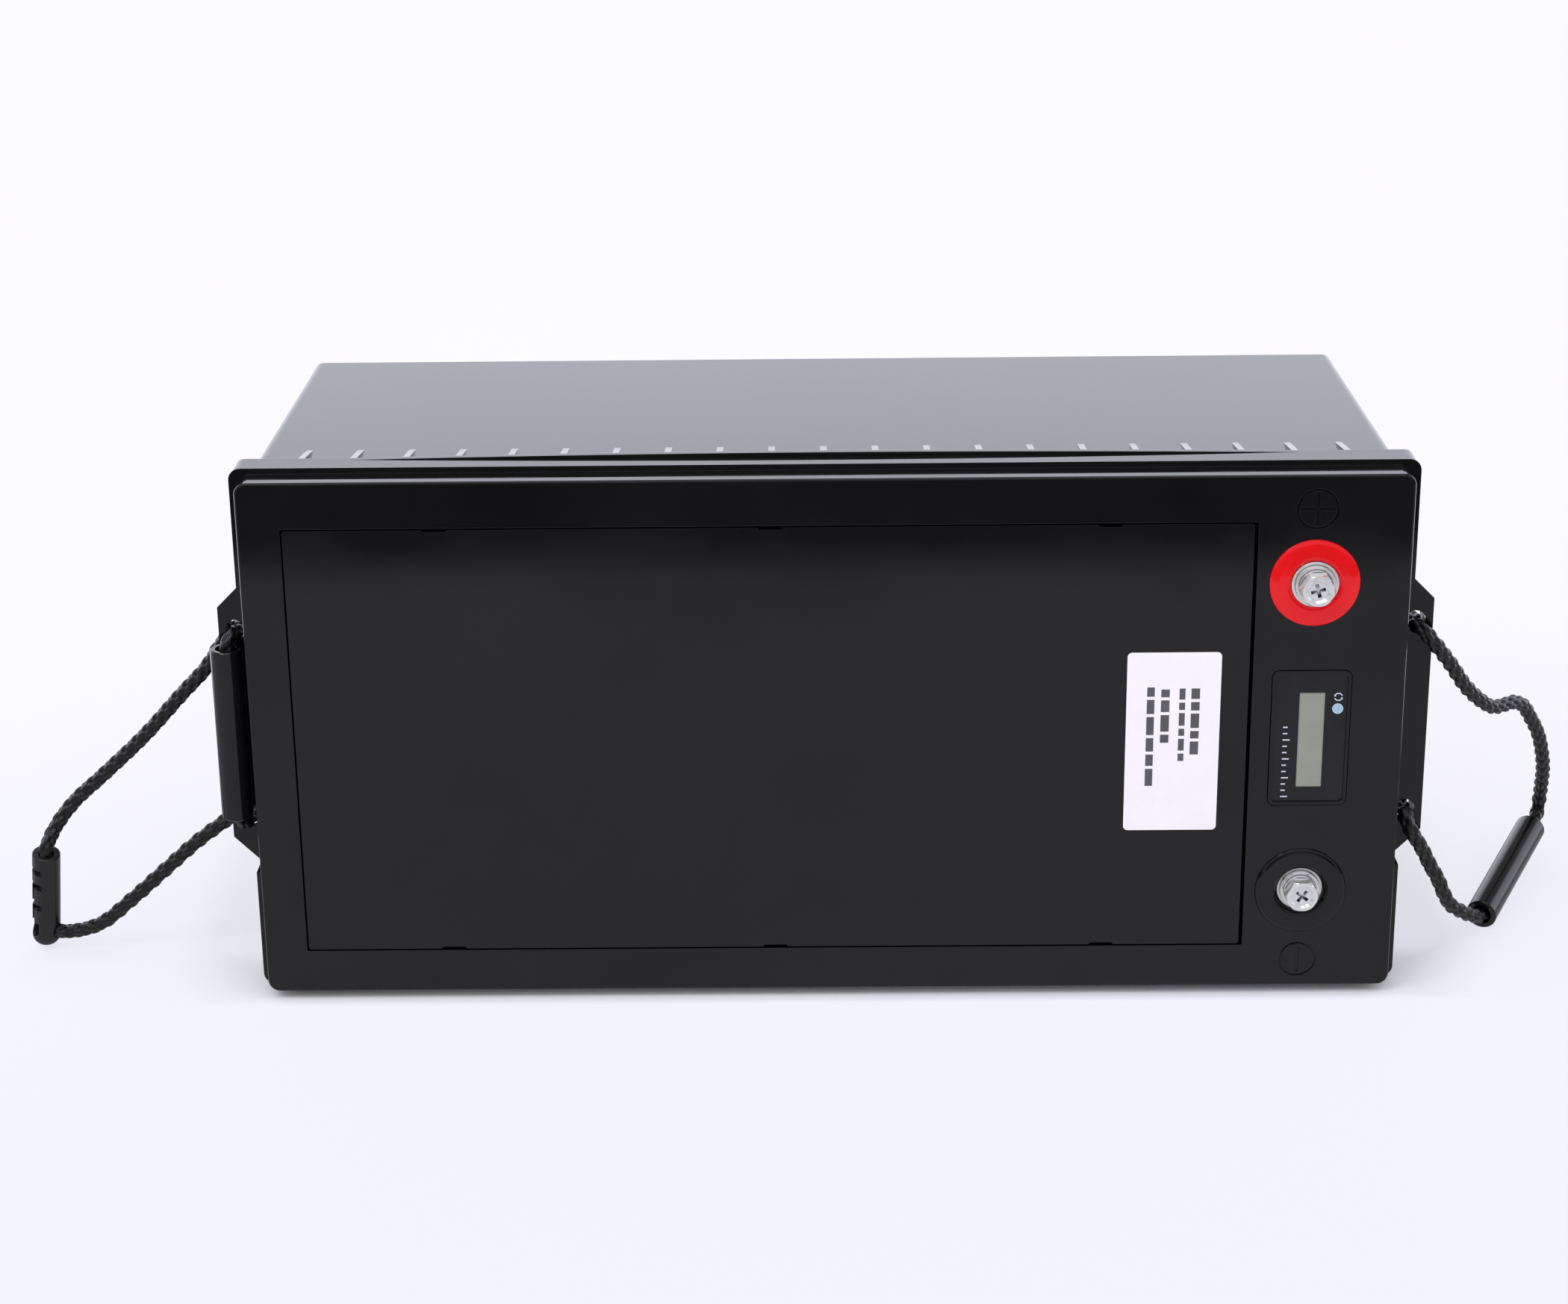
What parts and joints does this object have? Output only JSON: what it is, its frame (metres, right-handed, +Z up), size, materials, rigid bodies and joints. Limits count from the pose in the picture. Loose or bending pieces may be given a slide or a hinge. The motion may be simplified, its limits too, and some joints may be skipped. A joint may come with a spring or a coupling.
{
  "type": "deep cycle battery",
  "caption": "Black lithium deep cycle battery with a flanged cover, bolt terminals, a charge meter and rope carrying handles, lying on its long side.",
  "frame": {"origin": "middle of the rim edge that the battery rests on, halfway through the depth of the cover's skirt", "axes": "+X along the case towards the terminal end, +Y from the cover towards the case base, +Z up from the resting edge"},
  "size_m": [0.7035, 0.2299, 0.2402],
  "materials": {
    "case_plastic": "glossy injection-moulded black ABS",
    "panel_plastic": "glossy black ABS sheet",
    "seal_rubber": "soft black rubber cord",
    "adhesive": "thin cured adhesive",
    "label_paper": "white coated label stock",
    "ring_red": "glossy red plastic",
    "ring_black": "glossy black plastic",
    "terminal_metal": "tin-plated brass",
    "nut_brass": "plain brass",
    "washer_steel": "stainless steel",
    "bolt_steel": "bright zinc-plated steel",
    "screw_steel": "zinc-plated steel",
    "bezel_plastic": "black moulded plastic",
    "overlay_plastic": "printed black overlay film",
    "lcd_glass": "grey-green liquid crystal display",
    "board_green": "green solder mask",
    "button_blue": "light blue silicone",
    "lead_red": "red wire insulation",
    "lead_black": "black silicone insulation",
    "cell_wrap": "blue shrink film over aluminium cans",
    "spacer_board": "epoxy glass sheet",
    "plate_aluminium": "mill-finish aluminium",
    "foam": "black closed-cell foam",
    "busbar_copper": "bare copper",
    "tray_plastic": "black insulating plastic",
    "harness_film": "amber polyimide film",
    "grip_plastic": "black polyethylene tube",
    "clamp_plastic": "black moulded nylon",
    "rope_fibre": "black braided polypropylene"
  },
  "bodies": {
    "case": {"container": "case_plastic", "cover": "case_plastic", "cover_seal": "seal_rubber", "inset_panel": "panel_plastic", "panel_adhesive": "adhesive", "label": "label_paper", "positive_ring": "ring_red", "negative_ring": "ring_black", "positive_terminal": "terminal_metal", "negative_terminal": "terminal_metal", "terminal_nuts": "nut_brass", "meter_bezel": "bezel_plastic", "meter_window": "overlay_plastic", "meter_lcd": "lcd_glass", "meter_board": "board_green", "meter_lead": "lead_red", "cell_group_1": "cell_wrap", "cell_group_2": "cell_wrap", "cell_group_3": "cell_wrap", "cell_group_4": "cell_wrap", "cell_spacers": "spacer_board", "end_plate_left": "plate_aluminium", "end_plate_right": "plate_aluminium", "pack_straps": "screw_steel", "base_pad": "foam", "side_foams": "foam", "end_foams": "foam", "busbars": "busbar_copper", "busbar_screws": "screw_steel", "bms_tray": "tray_plastic", "bms_board": "board_green", "bms_heatsink": "plate_aluminium", "bms_screws": "screw_steel", "negative_cable": "lead_black", "positive_cable": "lead_red", "bms_cable": "lead_black", "balance_leads": "harness_film", "right_clamp_grip": "clamp_plastic", "left_inner_rope": "rope_fibre", "right_upper_rope": "rope_fibre", "right_lower_rope": "rope_fibre"},
    "positive_washers": {"positive_flat_washer": "washer_steel", "positive_spring_washer": "washer_steel"},
    "negative_washers": {"negative_flat_washer": "washer_steel", "negative_spring_washer": "washer_steel"},
    "positive_bolt_turning": {"positive_bolt": "bolt_steel"},
    "negative_bolt_turning": {"negative_bolt": "bolt_steel"},
    "meter_button": {"meter_button": "button_blue"},
    "left_tube": {"left_tube_grip": "grip_plastic"},
    "left_loop": {"left_upper_rope": "rope_fibre", "left_lower_rope": "rope_fibre", "left_clamp_grip": "clamp_plastic"},
    "right_loop": {"right_front_rope": "rope_fibre"},
    "right_tube": {"right_tube_grip": "grip_plastic"}
  },
  "joints": [
    {"name": "positive_bolt_travel", "type": "slide", "parent": "case", "child": "positive_washers", "axis": [0, -1, 0], "range_m": [0, 0.015]},
    {"name": "positive_bolt_turn", "type": "hinge", "parent": "positive_washers", "child": "positive_bolt_turning", "pos_m": [0.2054, -0.02535, 0.18885], "axis": [0, -1, 0], "range_deg": [0, 4320]},
    {"name": "negative_bolt_travel", "type": "slide", "parent": "case", "child": "negative_washers", "axis": [0, -1, 0], "range_m": [0, 0.015]},
    {"name": "negative_bolt_turn", "type": "hinge", "parent": "negative_washers", "child": "negative_bolt_turning", "pos_m": [0.2054, -0.02135, 0.04805], "axis": [0, -1, 0], "range_deg": [0, 4320]},
    {"name": "meter_button_press", "type": "slide", "parent": "case", "child": "meter_button", "axis": [0, 1, 0], "range_m": [0, 0.0008], "stiffness_N_per_m": 600},
    {"name": "left_tube_spin", "type": "hinge", "parent": "case", "child": "left_tube", "pos_m": [-0.257, -0.0016, 0.1175], "axis": [0, 0, 1], "continuous": true},
    {"name": "left_loop_swing", "type": "hinge", "parent": "case", "child": "left_loop", "pos_m": [-0.2565, 0.0249, 0.11925], "axis": [0, 0, 1], "range_deg": [-60, 30]},
    {"name": "right_loop_swing", "type": "hinge", "parent": "case", "child": "right_loop", "pos_m": [0.2533, 0.0022, 0.11925], "axis": [0, 0, 1], "range_deg": [-35, 9]},
    {"name": "right_tube_spin", "type": "hinge", "parent": "right_loop", "child": "right_tube", "pos_m": [0.31535, 0.0723, 0.01595], "axis": [0.4551, 0.875, 0.1652], "continuous": true}
  ],
  "couplings": [
    {"joint": "positive_bolt_turn", "follows": "positive_bolt_travel", "rad_per_m": 5026.5},
    {"joint": "negative_bolt_turn", "follows": "negative_bolt_travel", "rad_per_m": 5026.5}
  ]
}
